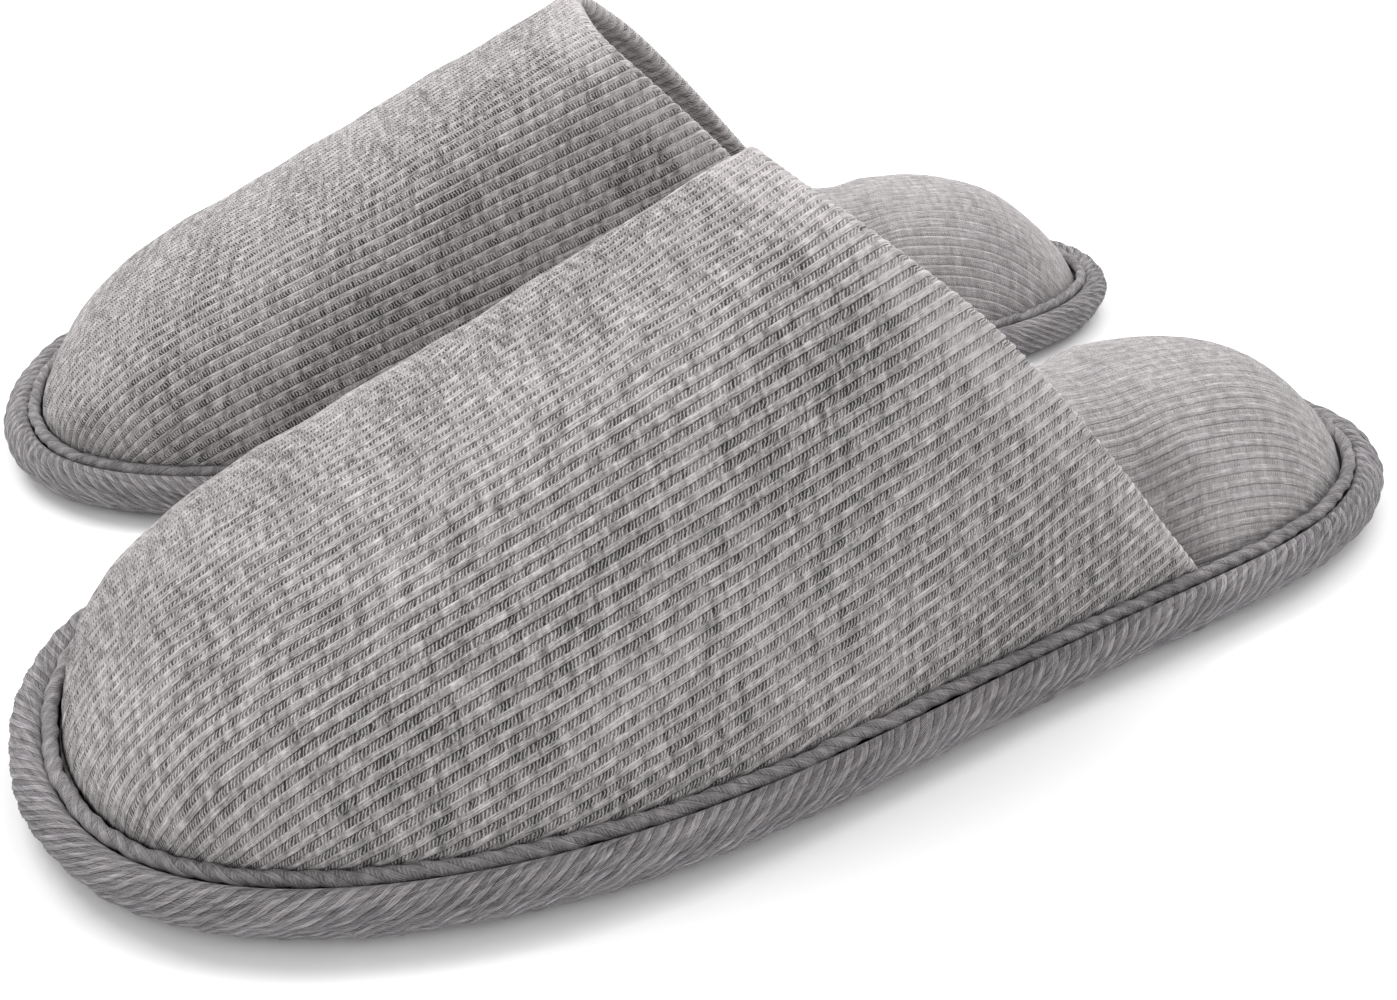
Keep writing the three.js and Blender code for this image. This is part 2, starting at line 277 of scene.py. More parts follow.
class Cloth:
    """A cloth face measured across: v is the distance from the middle line, so a rib keeps one v.

    Where the middle line slopes, the distance is taken square to it, so heights count for less.
    """

    STATIONS = 500
    STEPS = 240

    def __init__(self, points, first, last, middle_height=None):
        self.s = np.linspace(first, last, self.STATIONS)
        q = np.sin(np.linspace(0, math.pi / 2, self.STEPS))
        grid = points(self.s[:, None], q[None, :])
        level = np.ones(self.STATIONS)
        if middle_height is not None:
            slope = np.gradient(middle_height(self.s), self.s)
            level = 1 / np.hypot(1, slope)
        drop = np.diff(grid[..., 2], axis=1) * level[:, None]
        steps = np.hypot(np.diff(grid[..., 1], axis=1), drop)
        arc = np.concatenate([np.zeros((self.STATIONS, 1)), np.cumsum(steps, axis=1)], axis=1)
        self.girth = arc[:, -1]
        shares = np.linspace(0, 1, self.STEPS)
        self.q_table = np.array([np.interp(shares, row / max(row[-1], 1e-6), q) for row in arc])

    def signed_q(self, s, v):
        """The signed share of the half width at which the rib v crosses the station s."""
        girth = np.interp(s, self.s, self.girth)
        column = np.clip(np.abs(v) / np.maximum(girth, 1e-6), 0, 1) * (self.STEPS - 1)
        row = np.interp(s, self.s, np.arange(self.STATIONS))
        c = np.clip(column.astype(int), 0, self.STEPS - 2)
        r = np.clip(row.astype(int), 0, self.STATIONS - 2)
        fc, fr = column - c, row - r
        table = self.q_table
        low = table[r, c] * (1 - fc) + table[r, c + 1] * fc
        high = table[r + 1, c] * (1 - fc) + table[r + 1, c + 1] * fc
        return (low * (1 - fr) + high * fr) * np.sign(v)

    def rib_ends(self, v):
        """The first and last station that a rib reaches before it runs into the seam."""
        from_heel = np.maximum.accumulate(self.girth)
        from_toe = np.maximum.accumulate(self.girth[::-1])
        start = np.interp(np.abs(v), from_heel, self.s)
        end = np.interp(np.abs(v), from_toe, self.s[::-1])
        return start, end


def topline_station(q):
    """The topline's station: low at the sides and furthest forward in the middle."""
    climb = (1 - np.abs(q) ** SECTION_BEND[0]) ** TOPLINE_BEND
    return mix((VAMP_SIDE_START, VAMP_APEX_START), climb)


VAMP_CLOTH = Cloth(vamp_points, VAMP_SIDE_START, vamp_toe(0), ridge_height)
FOOTBED_CLOTH = Cloth(footbed_points, SEAM_INSET, LENGTH - SEAM_INSET)


def topline_of_rib(v):
    """The station at which each rib meets the topline."""
    q = np.sin(np.linspace(0, math.pi / 2, 400))
    s = topline_station(q)
    girth = np.interp(s, VAMP_CLOTH.s, VAMP_CLOTH.girth)
    shares = np.linspace(0, 1, Cloth.STEPS)
    rows = np.interp(s, VAMP_CLOTH.s, np.arange(Cloth.STATIONS)).astype(int)
    arc = np.array([np.interp(a, VAMP_CLOTH.q_table[r], shares) for a, r in zip(q, rows)]) * girth
    return np.interp(np.abs(v), np.maximum.accumulate(arc), s)


# ---- placing and meshing ----
def place(side, points):
    """Slipper measures to the frame's metres. The flex joint says where the slipper stands and faces."""
    joint = JOINTS[f"{side}_sole_flex"]
    across = -np.array(joint["axis"])
    heelward = np.cross(across, (0, 0, 1))
    points = np.asarray(points, float)
    y = points[..., 1:2] + TOE_SWING * (points[..., 0:1] / LENGTH) ** 2
    out = heelward * ((FLEX_DISTANCE - points[..., 0:1]) * MM)
    out = out + across * (y * MM * SIDES[side])
    out[..., 0] += joint["pos_m"][0]
    out[..., 1] += joint["pos_m"][1]
    out[..., 2] = points[..., 2] * MM
    return out


def volume_of(points, quads):
    """A measure of the volume inside, which is negative where the quads face in."""
    a, b, c, d = (points[quads[:, k]] for k in range(4))
    first = np.einsum("ij,ij->i", a, np.cross(b, c))
    second = np.einsum("ij,ij->i", a, np.cross(c, d))
    return float((first + second).sum())


def make_piece(name, side, points, quads, caps=(), knit=None):
    """A mesh object from slipper points, its quads and its end caps, with the faces pointing out."""
    world = place(side, np.asarray(points).reshape(-1, 3))
    quads = np.asarray(quads)
    caps = [list(cap) for cap in caps]
    if volume_of(world - world.mean(axis=0), quads) < 0:
        quads = quads[:, ::-1]
        caps = [cap[::-1] for cap in caps]
    mesh = bpy.data.meshes.new(f"{side}_{name}")
    mesh.from_pydata(world.tolist(), [], quads.tolist() + caps)
    mesh.polygons.foreach_set("use_smooth", np.ones(len(mesh.polygons), bool))
    if knit is not None:
        layer = mesh.attributes.new("knit", "FLOAT_VECTOR", "POINT")
        layer.data.foreach_set("vector", np.asarray(knit).reshape(-1).astype(np.float32))
    mesh.validate()
    mesh.update()
    piece = bpy.data.objects.new(f"{side}_{name}", mesh)
    bpy.context.scene.collection.objects.link(piece)
    return piece


def ring_quads(rings, size, closed=False):
    """Quads between neighbouring closed rings of points."""
    count = rings if closed else rings - 1
    here = np.arange(count)[:, None] * size
    after = (np.arange(1, count + 1) % rings)[:, None] * size
    k = np.arange(size)[None, :]
    n = (k + 1) % size
    return np.stack([here + k, here + n, after + n, after + k], axis=-1).reshape(-1, 4)


def strip_piece(name, side, rings, knit=None):
    """A closed piece from neighbouring rings of points, with its first and last rings filled."""
    count, size = rings.shape[:2]
    caps = [range(size), range((count - 1) * size, count * size)]
    return make_piece(name, side, rings, ring_quads(count, size), caps, knit)


def knit_layer(along, across, hem=0.0):
    """What the knit's material reads at each point: places along and across the ribs, and the share of
    painted highlight on the topline's rolled edge.
    """
    return np.stack(np.broadcast_arrays(along, across, hem), axis=-1)


def grid_normals(grid, centre):
    """Unit normals of a grid of points, turned away from the centre."""
    along = np.gradient(grid, axis=1)
    across = np.gradient(grid, axis=0)
    normals = unit(np.cross(along, across))
    facing = ((grid - np.asarray(centre)) * normals).sum(axis=-1)
    return normals * (1.0 if np.median(facing) > 0 else -1.0)


def run_along(grid):
    """Length along each column of a grid, from its first point."""
    steps = np.linalg.norm(np.diff(grid, axis=1), axis=-1)
    return np.concatenate([np.zeros((len(grid), 1)), np.cumsum(steps, axis=1)], axis=1)


# ---- knit relief ----
def rib_relief(v):
    """The ribs' relief: a full smooth rib, a lower band of loops, and a groove between."""
    phase = np.mod(v / RIB_PITCH, 1.0)
    smooth = np.clip(np.sin(math.pi * phase / RIB_SPLIT), 0, 1) ** 0.6
    loops = 0.7 * np.clip(np.sin(math.pi * (phase - RIB_SPLIT) / (1 - RIB_SPLIT)), 0, 1) ** 0.6
    return RIB_DEPTH * np.where(phase < RIB_SPLIT, smooth, loops)


def rib_columns(limit):
    """Places across the ribs, to the limit on both sides, with the same number in each rib."""
    step = RIB_PITCH / COLUMNS_PER_RIB
    half = int(limit / step)
    return np.arange(-half, half + 1) * step


def softness(u, v, seed):
    """Slow unevenness of hand-sewn padding, about 1 either way."""
    total = 0.0
    rng = np.random.default_rng(seed)
    for wavelength in (70.0, 43.0, 27.0, 17.0):
        turn, shift = rng.uniform(0, 2 * math.pi, 2)
        total = total + np.sin(2 * math.pi * (u * math.cos(turn) + v * math.sin(turn)) / wavelength + shift)
    return total / 4


def pucker(run, seed):
    """Uneven puckers along a seam, from 0 to 1."""
    rng = np.random.default_rng(seed)
    a, b = rng.uniform(0, 2 * math.pi, 2)
    warp = 0.9 * np.sin(run / 9.1 + a) + 0.6 * np.sin(run / 5.3 + b)
    return 0.5 + 0.5 * np.sin(2 * math.pi * run / PUCKER_PITCH + warp)


def sewn_relief(rib, near, unevenness, puckers, sewn):
    """How far a sewn knit face stands out, by its ribs, its padding, and its seam's pull and puckers."""
    padding, padding_reach = sewn["padding"]
    pull, pull_reach = sewn["pull"]
    height, pucker_reach = sewn["pucker"]
    relief = rib * (0.35 + 0.65 * smooth_step(0, 3, near))
    relief = relief + padding * unevenness * smooth_step(0, padding_reach, near)
    relief = relief - pull * np.exp(-(near / pull_reach) ** 2)
    return relief + height * (puckers - 0.5) * np.exp(-near / pucker_reach) * smooth_step(0, 1, near)


# ---- upper ----
def rib_grid(start, end, shares):
    """Stations of each rib at the given shares of its length."""
    return start[:, None] + (np.maximum(end, start + 0.05) - start)[:, None] * shares


def vamp_grid(v, shares, depth):
    """Stations and points of the upper at a depth, by its ribs."""
    s = rib_grid(topline_of_rib(v), VAMP_CLOTH.rib_ends(v)[1], shares)
    return s, vamp_points(s, VAMP_CLOTH.signed_q(s, v[:, None] + 0 * s), depth)


def seam_closeness(v, s):
    """Distance in millimetres from the vamp's seam, by the triangle that the rib and the seam make."""
    across = np.interp(s, VAMP_CLOTH.s, VAMP_CLOTH.girth) - np.abs(v)
    along = VAMP_CLOTH.rib_ends(v)[1] - s
    across, along = np.maximum(across, 0), np.maximum(along, 0)
    return across * along / np.maximum(np.hypot(across, along), 1e-6)


def inner_depth(back):
    """Depth of the upper's inner face at a distance from the topline, where the padding thins out."""
    return EDGE_DEPTH + (LINING_DEPTH - EDGE_DEPTH) * smooth_step(0, EDGE_THINNING, back)


def upper_outer(v):
    """The upper's outer face in relief, and the length along each rib."""
    shares = 1 - (1 - np.linspace(0, 1, 60)) ** 1.35
    s, face = vamp_grid(v, shares, 0.0)
    along = topline_of_rib(v)[:, None] + run_along(face)
    near = seam_closeness(v[:, None] + 0 * s, s)
    unevenness = softness(along, v[:, None], 3)
    puckers = pucker(seam_run(s, face[..., 1]), 11)
    relief = sewn_relief(rib_relief(v)[:, None], near, unevenness, puckers, SEWN_UPPER)
    return face + grid_normals(face, INSIDE_UPPER) * relief[..., None], along


def upper_hem(v, outer):
    """The hem inside the topline: the face that shows, and the fold behind it."""
    length = run_along(outer)[:, -1]
    shares = np.minimum(HEM_STEPS / np.maximum(length, 1e-3)[:, None], 0.45)
    shown = vamp_grid(v, shares, inner_depth(HEM_STEPS))[1]
    fold_depth = np.maximum(inner_depth(HEM_STEPS[::-1]) - HEM_THICKNESS, 1.5)
    fold = vamp_grid(v, shares[:, ::-1], fold_depth)[1]
    return shown, fold


def rounded_edge(top, under, backward, rib):
    """Half round from the outer face to the inner one, bulging back past the topline."""
    centre = (top + under) / 2
    half = (top - under) / 2
    radius = np.linalg.norm(half, axis=-1, keepdims=True)
    backward = unit(backward - unit(half) * (backward * unit(half)).sum(axis=-1, keepdims=True))
    points = []
    for turn in np.linspace(0, math.pi, 9)[1:-1]:
        direction = unit(half) * math.cos(turn) + backward * math.sin(turn)
        points.append(centre + direction * (radius + 0.5 * rib * math.sin(turn)))
    return np.stack(points, axis=1)


def upper_shell(side):
    """The vamp's knit: an outer face in ribs, turned round the topline and hemmed inside."""
    v = rib_columns(VAMP_CLOTH.girth.max() - 0.4)
    outer, along = upper_outer(v)
    shown, fold = upper_hem(v, outer)
    edge = rounded_edge(outer[:, 0], shown[:, 0], outer[:, 0] - outer[:, 1], rib_relief(v)[:, None])
    inner_s, inner = vamp_grid(v, np.linspace(0.02, 1, 9), SHELL_DEPTH)
    rings = np.concatenate([outer[:, ::-1], edge, shown, fold[:, :-1], inner], axis=1)

    edge_along = along[:, :1] - np.linspace(0, EDGE_RUN, edge.shape[1])
    hem_along = along[:, :1] - EDGE_RUN - HEM_STEPS
    fold_along = hem_along[:, ::-1][:, :-1]
    ring_along = np.concatenate([along[:, ::-1], edge_along, hem_along, fold_along, inner_s], axis=1)
    # The third knit value paints a highlight on the rolled topline edge and the three outer rows below it.
    hem = np.zeros_like(ring_along)
    rows = outer.shape[1]
    hem[:, rows - 3:rows + edge.shape[1]] = TOPLINE_HIGHLIGHT_SHARE
    return strip_piece("upper_shell", side, rings, knit_layer(ring_along, v[:, None], hem))


def shell_between(v, shares, top_depth, low_depth):
    """The rings of a closed layer between two depths, one ring to each column."""
    top = vamp_grid(v, shares, top_depth)[1]
    low = vamp_grid(v, shares, low_depth)[1]
    return np.concatenate([top[:, ::-1], low], axis=1)


def upper_padding(side):
    """The wadding between the upper's knit and its lining."""
    v = np.linspace(-1, 1, 91) * (VAMP_CLOTH.girth.max() - 5)
    shares = np.linspace(0.03, 0.97, 24)
    rings = shell_between(v, shares, PADDING_DEPTH, inner_depth(shares * UPPER_RUN) - PADDING_GAP)
    rings[..., 2] += 0.1 * softness(rings[..., 0] * 3, rings[..., 1] * 3, 5)
    return strip_piece("upper_padding", side, rings)


def upper_lining(side):
    """The thin smooth cloth that faces the foot."""
    v = np.linspace(-1, 1, 181) * (VAMP_CLOTH.girth.max() - 3)
    shares = np.linspace(0.012, 1.0, 48)
    faces = [inner_depth(shares * UPPER_RUN) - gap for gap in LINING_FACES]
    return strip_piece("upper_lining", side, shell_between(v, shares, *faces))


# ---- footbed ----
def footbed_grid(v, shares, narrowing=1.0):
    """Stations, shares of the half width, and points of the footbed, by its ribs."""
    start, end = FOOTBED_CLOTH.rib_ends(v)
    s = rib_grid(start, end, shares)
    q = FOOTBED_CLOTH.signed_q(s, v[:, None] + 0 * s) * narrowing
    return s, q, footbed_points(s, q)


def footbed_cover(side):
    """The footbed's knit, domed, in ribs from the heel to the toe and pulled down along its seam."""
    v = rib_columns(FOOTBED_CLOTH.girth.max() - 0.3)
    shares = 0.5 - 0.5 * np.cos(math.pi * np.linspace(0, 1, 110) ** 0.95)
    s, q, top = footbed_grid(v, shares)
    near = (1 - footbed_share(s, q)) * np.where(s < SPINE[0], *FOOTBED_REACH)
    unevenness = softness(s, v[:, None], 9)
    puckers = pucker(seam_run(s, top[..., 1]), 17)
    relief = sewn_relief(rib_relief(v)[:, None], near, unevenness, puckers, SEWN_FOOTBED)
    top = top + grid_normals(top, UNDER_FOOTBED) * relief[..., None]
    low_s, _, low = footbed_grid(v, np.linspace(0, 1, 24))
    low[..., 2] -= COVER_THICKNESS
    rings = np.concatenate([top, low[:, ::-1]], axis=1)
    ring_along = np.concatenate([s, low_s[:, ::-1]], axis=1)
    return strip_piece("footbed_cover", side, rings, knit_layer(ring_along, v[:, None]))


def foam_pad(side):
    """The foam under the footbed: a dome on a flat base."""
    v = np.linspace(-1, 1, 81) * (FOOTBED_CLOTH.girth.max() - 1.5)
    top = footbed_grid(v, np.linspace(0.004, 0.996, 70), FOAM_NARROWING)[2]
    top[..., 2] = np.maximum(top[..., 2] - COVER_THICKNESS - FOAM_CLEARANCE, FOAM_EDGE[0])
    low = top.copy()
    low[..., 2] = FOAM_EDGE[1]
    return strip_piece("foam_pad", side, np.concatenate([top, low[:, ::-1]], axis=1))


# ---- board and outsole ----
def outline_rings(section, steps):
    """Rings of points along the outline, one to each (inset, height) of a section."""
    angles = 2 * math.pi * np.arange(steps) / steps
    rings = []
    for inset, z in section:
        s, y = edge_points(angles, inset)
        rings.append(np.stack([s, y, np.full_like(s, z)], axis=-1))
    return np.stack(rings)


def strip_faces(base, steps):
    """Strips from side to side that fill the flat inside a ring of points."""
    faces = []
    for k in range(steps // 2):
        strip = [base + k, base + k + 1, base + (steps - k - 1) % steps, base + (steps - k) % steps]
        strip = [index for at, index in enumerate(strip) if index not in strip[:at]]
        if len(strip) > 2:
            faces.append(strip)
    return faces


def plate(name, side, section, studs=False):
    """A flat plate from its section, with studs under it where asked for."""
    steps = 240
    points = outline_rings(section, steps).reshape(-1, 3)
    under = [face[::-1] for face in strip_faces(0, steps)]
    over = strip_faces((len(section) - 1) * steps, steps)
    faces = ring_quads(len(section), steps).tolist() + under + over
    if studs:
        points, faces = add_studs(points, faces)
    if SIDES[side] > 0:
        faces = [face[::-1] for face in faces]
    mesh = bpy.data.meshes.new(f"{side}_{name}")
    mesh.from_pydata(place(side, points).tolist(), [], faces)
    mesh.validate()
    mesh.update()
    piece = bpy.data.objects.new(f"{side}_{name}", mesh)
    bpy.context.scene.collection.objects.link(piece)
    return piece


def stud_centres():
    """Where the studs stand: staggered rows inside the outline."""
    room = half_width_of(STUD_INSET)
    row_distance = STUD_PITCH * 0.866  # the rows of a grid of even triangles
    first, last = STUD_INSET + STUD_RADIUS, LENGTH - STUD_INSET - STUD_RADIUS
    for row, s in enumerate(np.arange(first, last, row_distance)):
        shift = STUD_PITCH / 2 if row % 2 else 0.0
        limit = float(room(s)) - STUD_RADIUS
        count = int((limit + STUD_PITCH) / STUD_PITCH)
        for k in range(-count, count + 1):
            y = k * STUD_PITCH + shift
            if abs(y) <= limit:
                yield s, y


def add_studs(points, faces):
    """The plate's points and faces with those of its small blunt studs added."""
    points = points.tolist()
    faces = list(faces)
    turns = 2 * math.pi * np.arange(STUD_SIDES) / STUD_SIDES
    sides = ring_quads(len(STUD_RINGS), STUD_SIDES)[:, ::-1]
    tip = (len(STUD_RINGS) - 1) * STUD_SIDES + np.arange(STUD_SIDES)[::-1]
    for s, y in stud_centres():
        base = len(points)
        for share, z in STUD_RINGS:
            reach = STUD_RADIUS * share
            points += [[s + reach * math.cos(turn), y + reach * math.sin(turn), z] for turn in turns]
        faces += (sides + base).tolist()
        faces.append((tip + base).tolist())
    return np.array(points), faces


# ---- bound edge and welt ----
def closed_curve(controls, count):
    """A smooth closed curve through the control points, resampled to even steps."""
    controls = np.asarray(controls, float)
    samples = []
    for k in range(len(controls)):
        p0, p1, p2, p3 = (controls[(k + j - 1) % len(controls)] for j in range(4))
        t = np.linspace(0, 1, 24, endpoint=False)[:, None]
        samples.append(0.5 * (2 * p1 + (p2 - p0) * t + (2 * p0 - 5 * p1 + 4 * p2 - p3) * t ** 2
                              + (3 * p1 - p0 - 3 * p2 + p3) * t ** 3))
    curve = np.concatenate(samples)
    curve = np.concatenate([curve, curve[:1]])
    run = np.concatenate([[0], np.cumsum(np.linalg.norm(np.diff(curve, axis=0), axis=1))])
    at = np.linspace(0, run[-1], count, endpoint=False)
    return np.stack([np.interp(at, run, curve[:, k]) for k in range(2)], axis=-1), at


def profile_normals(profile):
    """Outward directions of a closed profile in (inset, height)."""
    tangent = np.roll(profile, -1, axis=0) - np.roll(profile, 1, axis=0)
    normal = unit(np.stack([tangent[:, 1], -tangent[:, 0]], axis=-1))
    facing = ((profile - profile.mean(axis=0)) * normal).sum()
    return normal if facing > 0 else -normal


def binding_relief(v, run, height, inset, z):
    """How far the binding's knit stands out. Only the part that shows has ribs, swells and puckers."""
    shown = smooth_step(0.0, 2.5, 5.3 - inset) * smooth_step(0.2, 1.6, z)
    rib = rib_relief(v) * BINDING_RIB_SHARE
    swell = 0.35 * softness(run, height * 3, 21) + 0.3 * (pucker(run * 0.8, 23) - 0.5)
    return (rib - 0.25 + swell) * shown


def edge_binding(side):
    """The bias-cut knit strip round the sole: a plump roll whose ribs climb at a slant."""
    track = Track(BINDING_TRACK)
    columns = round(track.length / BINDING_RIB_SPACING) * COLUMNS_PER_RIB
    profile, height = closed_curve(BINDING_SECTION, 40)
    start = np.arange(columns)[:, None] * (track.length / columns)
    slant = height - BINDING_SLANT * np.sin(2 * math.pi * height / height[-1])
    run = start - slant + BINDING_WANDER * softness(start * 1.2, height * 2.5, 41)
    v = (np.arange(columns) / COLUMNS_PER_RIB * RIB_PITCH)[:, None]
    relief = binding_relief(v, run, height, profile[:, 0], profile[:, 1])
    outward = profile_normals(profile)
    inset = profile[:, 0] + outward[:, 0] * relief
    z = profile[:, 1] + outward[:, 1] * relief
    s, y = edge_points(track.angle(run), inset)
    rings = np.stack([s, y, np.maximum(z, FLOOR_CLEARANCE)], axis=-1)
    quads = ring_quads(columns, len(profile), closed=True)
    return make_piece("edge_binding", side, rings, quads, (), knit_layer(height * 1.41 + start * 0.7, v))


def welt_piping(side):
    """The thin rolled welt between the two seams, pulled into slanted puckers by its stitches."""
    track = Track(PIPING_INSET)
    columns = 900
    sides = 18
    run = np.arange(columns)[:, None] * (track.length / columns)
    turn = 2 * math.pi * np.arange(sides) / sides
    twist = pucker(run + 1.4 * turn, 31)
    radius = PIPING_RADIUS * (0.9 + 0.2 * twist + 0.08 * softness(run * 3, turn * 8, 33))
    sway = 0.34 * softness(run * 2.2, 0 * run, 35)
    lift = 0.25 * softness(run * 2.6, 0 * run, 37)
    inset = PIPING_INSET + sway + radius * np.cos(turn)
    z = PIPING_HEIGHT + lift + 1.05 * radius * np.sin(turn)
    s, y = edge_points(track.angle(run), inset)
    rings = np.stack([s, y, z], axis=-1)
    quads = ring_quads(columns, sides, closed=True)
    knit = knit_layer(run, turn * PIPING_RADIUS + run * 0.6)
    return make_piece("welt_piping", side, rings, quads, (), knit)


# ---- materials ----
class Nodes:
    """A short way to write a material's node tree."""

    def __init__(self, name):
        self.material = bpy.data.materials.new(name)
        self.material.use_nodes = True
        self.tree = self.material.node_tree
        self.shader = self.tree.nodes["Principled BSDF"]

    def link(self, value, socket):
        if isinstance(value, bpy.types.NodeSocket):
            self.tree.links.new(value, socket)
        else:
            socket.default_value = value

    def math(self, operation, a, b=0.0, c=0.0):
        node = self.tree.nodes.new("ShaderNodeMath")
        node.operation = operation
        for value, socket in zip((a, b, c), node.inputs):
            self.link(value, socket)
        return node.outputs[0]

    def range(self, value, from_low, from_high, to_low=0.0, to_high=1.0, smooth=True):
        node = self.tree.nodes.new("ShaderNodeMapRange")
        node.interpolation_type = "SMOOTHSTEP" if smooth else "LINEAR"
        for item, name in zip((value, from_low, from_high, to_low, to_high),
                              ("Value", "From Min", "From Max", "To Min", "To Max")):
            self.link(item, node.inputs[name])
        return node.outputs[0]

    def scaled(self, value, factor):
        return self.math("MULTIPLY", value, factor)

    def total(self, *parts):
        """The parts added up from the first to the last."""
        result = parts[0]
        for part in parts[1:]:
            result = self.math("ADD", result, part)
        return result

    def combine(self, x, y, z=0.0):
        node = self.tree.nodes.new("ShaderNodeCombineXYZ")
        for value, socket in zip((x, y, z), node.inputs):
            self.link(value, socket)
        return node.outputs[0]

    def separate(self, vector):
        node = self.tree.nodes.new("ShaderNodeSeparateXYZ")
        self.link(vector, node.inputs[0])
        return node.outputs

    def attribute(self, name):
        node = self.tree.nodes.new("ShaderNodeAttribute")
        node.attribute_name = name
        return node.outputs["Vector"]

    def object_position(self):
        return self.tree.nodes.new("ShaderNodeTexCoord").outputs["Object"]

    def noise(self, vector, scale=1.0, detail=2.0, roughness=0.5):
        node = self.tree.nodes.new("ShaderNodeTexNoise")
        self.link(vector, node.inputs["Vector"])
        node.inputs["Scale"].default_value = scale
        node.inputs["Detail"].default_value = detail
        node.inputs["Roughness"].default_value = roughness
        return node.outputs["Fac"]

    def blend_colour(self, share, first, second):
        node = self.tree.nodes.new("ShaderNodeMix")
        node.data_type = "RGBA"
        self.link(share, node.inputs["Factor"])
        self.link(first, node.inputs["A"])
        self.link(second, node.inputs["B"])
        return node.outputs["Result"]

    def bump(self, height, distance):
        node = self.tree.nodes.new("ShaderNodeBump")
        node.inputs["Strength"].default_value = 1.0
        node.inputs["Distance"].default_value = distance
        self.link(height, node.inputs["Height"])
        self.link(node.outputs["Normal"], self.shader.inputs["Normal"])


LOOP_PITCH = 0.64


class KnitNodes(Nodes):
    """A rib knit's nodes: u runs along the ribs and v across them, both in millimetres."""

    def __init__(self, name):
        super().__init__(name)
        # The third value, hem, is the share of painted highlight on the topline's rolled edge.
        self.u, self.v, self.hem = self.separate(self.attribute("knit"))
        self.ribs = self.math("DIVIDE", self.v, RIB_PITCH)
        self.phase = self.math("FRACT", self.ribs)
        self.in_loops = self.range(self.phase, RIB_SPLIT - 0.03, RIB_SPLIT + 0.05)

    def streaks(self, along, across, detail=2.0, roughness=0.5, layer=0.0):
        """Noise stretched along or across the ribs by its two frequencies."""
        place_in_noise = self.combine(self.scaled(self.u, along), self.scaled(self.v, across), layer)
        return self.noise(place_in_noise, 1.0, detail, roughness)


def yarn_loops(n):
    """Small slanted loops along a rib, from 0 between two of them to 1 on each."""
    wander = n.streaks(0.9, 0.9)
    course = n.total(n.math("DIVIDE", n.u, LOOP_PITCH), n.scaled(n.phase, 1.6), n.scaled(wander, 1.4))
    return n.range(n.math("SINE", n.scaled(course, 2 * math.pi)), -0.35, 0.75)


def yarn_flecks(n):
    """Light flecks along the yarn, which differ from one half of a rib to the next."""
    half_rib = n.math("FLOOR", n.scaled(n.ribs, 2.0))
    fleck = n.noise(n.combine(n.scaled(n.u, 0.55), n.scaled(half_rib, 3.7)), 1.0, 3.0, 0.65)
    return n.range(fleck, 0.34, 0.68)


def heather(n, fleck, fuzz):
    """The mixed greys of the yarn: flecks, streaks across the ribs, slow clouds and fuzz."""
    streak = n.range(n.streaks(0.75, 0.09, roughness=0.6, layer=5.0), 0.32, 0.7)
    cloud = n.range(n.streaks(0.045, 0.03, layer=9.0), 0.3, 0.7)
    fuzz_light = n.range(fuzz, 0.3, 0.7, 0.0, 0.2)
    return n.total(n.scaled(fleck, 0.30), n.scaled(streak, 0.26), n.scaled(cloud, 0.13), fuzz_light)


def smooth_band(n, fibre):
    """The light of the smooth bands, by their fibres."""
    in_smooth = n.math("SUBTRACT", 1.0, n.in_loops)
    return n.math("MULTIPLY", in_smooth, n.math("MULTIPLY_ADD", fibre, 0.42, 0.06))


def loop_band(n, loops, stitch):
    """The light of the bands of loops. A stronger stitch has lighter loops and darker gaps."""
    light = n.math("MULTIPLY_ADD", loops, 0.6 * stitch, 0.3 - 0.44 * stitch)
    return n.math("MULTIPLY", n.in_loops, light)


def crest_painted_highlight(n, fleck, stitch):
    """A painted highlight: a light line where each smooth band turns down to its loops."""
    distance = n.math("ABSOLUTE", n.math("SUBTRACT", n.phase, RIB_SPLIT - 0.05))
    line = n.range(distance, 0.0, 0.04, 0.42 * stitch, 0.0)
    return n.math("MULTIPLY", line, n.range(fleck, 0.2, 0.8))


def groove_painted_shade(n):
    """Painted shade in the groove between two ribs: how much it darkens there."""
    distance = n.math("MINIMUM", n.phase, n.math("SUBTRACT", 1.0, n.phase))
    return n.range(distance, 0.0, 0.055, 0.5, 0.0)


def knit_surface(n, loops, fibre, fuzz):
    """The knit's fine relief, and a dull face with a little sheen."""
    yarn = n.math("MULTIPLY", n.in_loops, loops)
    n.bump(n.total(n.scaled(yarn, 0.55), n.scaled(fibre, 0.45), n.scaled(fuzz, 0.35)), 0.00032)
    n.link(n.range(fibre, 0.0, 1.0, 0.82, 0.95), n.shader.inputs["Roughness"])
    n.shader.inputs["Sheen Weight"].default_value = 0.18
    n.shader.inputs["Sheen Roughness"].default_value = 0.45
    n.shader.inputs["Specular IOR Level"].default_value = 0.2


